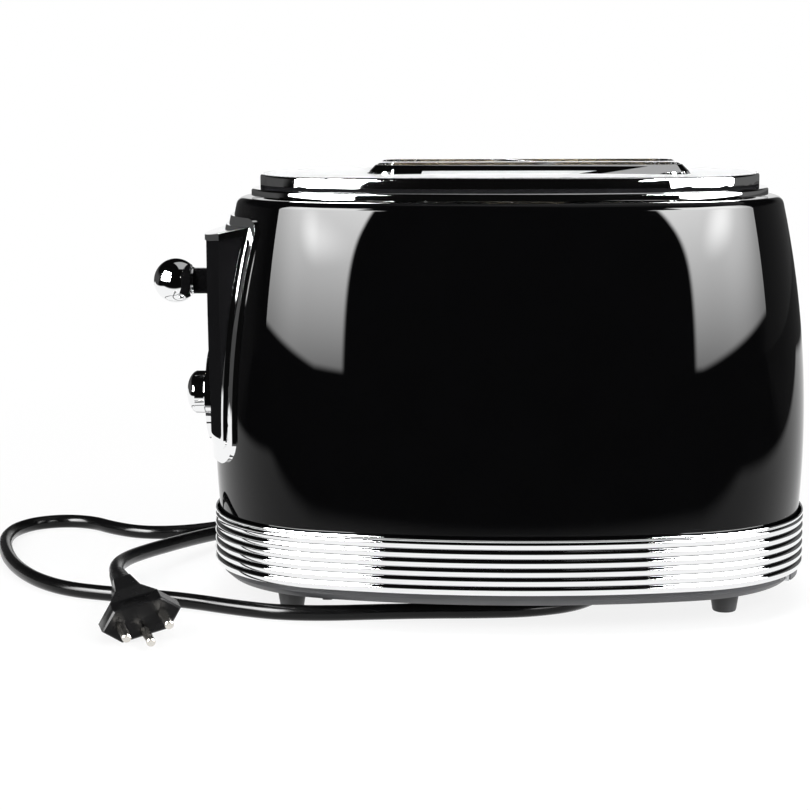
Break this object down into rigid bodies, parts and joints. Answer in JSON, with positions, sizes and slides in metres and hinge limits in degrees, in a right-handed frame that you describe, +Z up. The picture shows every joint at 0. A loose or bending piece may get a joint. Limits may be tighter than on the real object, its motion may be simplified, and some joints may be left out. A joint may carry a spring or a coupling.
{
  "type": "pop-up toaster",
  "caption": "Two-slice pop-up toaster with an oval barrel housing, ribbed chrome band, side lever, browning knob and mains lead.",
  "frame": {"origin": "on the table, under the middle of the toaster's outline without its lead", "axes": "+Z up, +X along the housing away from the lever and knob, -Y towards the long front side"},
  "size_m": [0.4089, 0.3184, 0.2045],
  "materials": {
    "gloss_black_enamel": "gloss",
    "chrome": "mirror",
    "dark_grey_plastic": "satin",
    "black_rubber": "matte",
    "black_plastic": "satin",
    "black_cord": "satin",
    "nickel": "polished",
    "zinc_steel": "satin",
    "mica": "matte",
    "resistance_wire": "satin",
    "circuit_board_green": "satin"
  },
  "bodies": {
    "toaster": {"body_shell": "gloss_black_enamel", "base_band": "chrome", "top_plate": "chrome", "slot_collar": "chrome", "panel_frame": "chrome", "dial_bezel": "chrome", "base_pan": "dark_grey_plastic", "cord_cleat_front": "dark_grey_plastic", "cord_cleat_rear": "dark_grey_plastic", "foot_front_left": "black_rubber", "foot_front_right": "black_rubber", "foot_rear_left": "black_rubber", "foot_rear_right": "black_rubber", "control_panel": "black_plastic", "plug_body": "black_plastic", "plug_sleeve": "black_plastic", "strain_relief": "black_plastic", "potentiometer": "black_plastic", "mains_cord": "black_cord", "plug_pins": "nickel", "base_screws": "zinc_steel", "end_plate_left": "zinc_steel", "end_plate_right": "zinc_steel", "heat_shield_front": "zinc_steel", "heat_shield_rear": "zinc_steel", "guide_rod": "zinc_steel", "lift_spring": "zinc_steel", "latch_magnet": "zinc_steel", "element_board_front": "mica", "element_board_middle": "mica", "element_board_rear": "mica", "heating_ribbon_front": "resistance_wire", "heating_ribbon_middle": "resistance_wire", "heating_ribbon_rear": "resistance_wire", "circuit_board": "circuit_board_green"},
    "lever": {"lever_stem": "black_plastic", "lever_ball": "chrome", "carriage_bracket": "zinc_steel", "bread_rack_front": "zinc_steel", "bread_rack_rear": "zinc_steel", "latch_armature": "zinc_steel"},
    "dial": {"browning_knob": "chrome", "dial_shaft": "black_plastic"},
    "crumb_drawer": {"crumb_tray": "zinc_steel", "crumb_tray_grip": "zinc_steel"},
    "guide_front_outer": {"bread_guide_front_outer": "zinc_steel"},
    "guide_front_inner": {"bread_guide_front_inner": "zinc_steel"},
    "guide_rear_inner": {"bread_guide_rear_inner": "zinc_steel"},
    "guide_rear_outer": {"bread_guide_rear_outer": "zinc_steel"}
  },
  "joints": [
    {"name": "lever_slide", "type": "slide", "parent": "toaster", "child": "lever", "axis": [0, 0, 1], "range_m": [-0.0235, 0], "stiffness_N_per_m": 120, "springref_m": 0.03, "deforming": ["lift_spring"]},
    {"name": "browning_turn", "type": "hinge", "parent": "toaster", "child": "dial", "pos_m": [-0.12985, 0, 0.0952], "axis": [-1, 0, 0], "range_deg": [0, 270]},
    {"name": "crumb_tray_slide", "type": "slide", "parent": "toaster", "child": "crumb_drawer", "axis": [1, 0, 0], "range_m": [0, 0.12]},
    {"name": "guide_front_outer_slide", "type": "slide", "parent": "toaster", "child": "guide_front_outer", "axis": [0, 1, 0], "range_m": [0, 0.006]},
    {"name": "guide_front_inner_slide", "type": "slide", "parent": "toaster", "child": "guide_front_inner", "axis": [0, -1, 0], "range_m": [0, 0.006]},
    {"name": "guide_rear_inner_slide", "type": "slide", "parent": "toaster", "child": "guide_rear_inner", "axis": [0, 1, 0], "range_m": [0, 0.006]},
    {"name": "guide_rear_outer_slide", "type": "slide", "parent": "toaster", "child": "guide_rear_outer", "axis": [0, -1, 0], "range_m": [0, 0.006]}
  ],
  "couplings": [
    {"joint": "guide_front_outer_slide", "follows": "lever_slide", "ratio": -0.25532},
    {"joint": "guide_front_inner_slide", "follows": "lever_slide", "ratio": -0.25532},
    {"joint": "guide_rear_inner_slide", "follows": "lever_slide", "ratio": -0.25532},
    {"joint": "guide_rear_outer_slide", "follows": "lever_slide", "ratio": -0.25532}
  ]
}
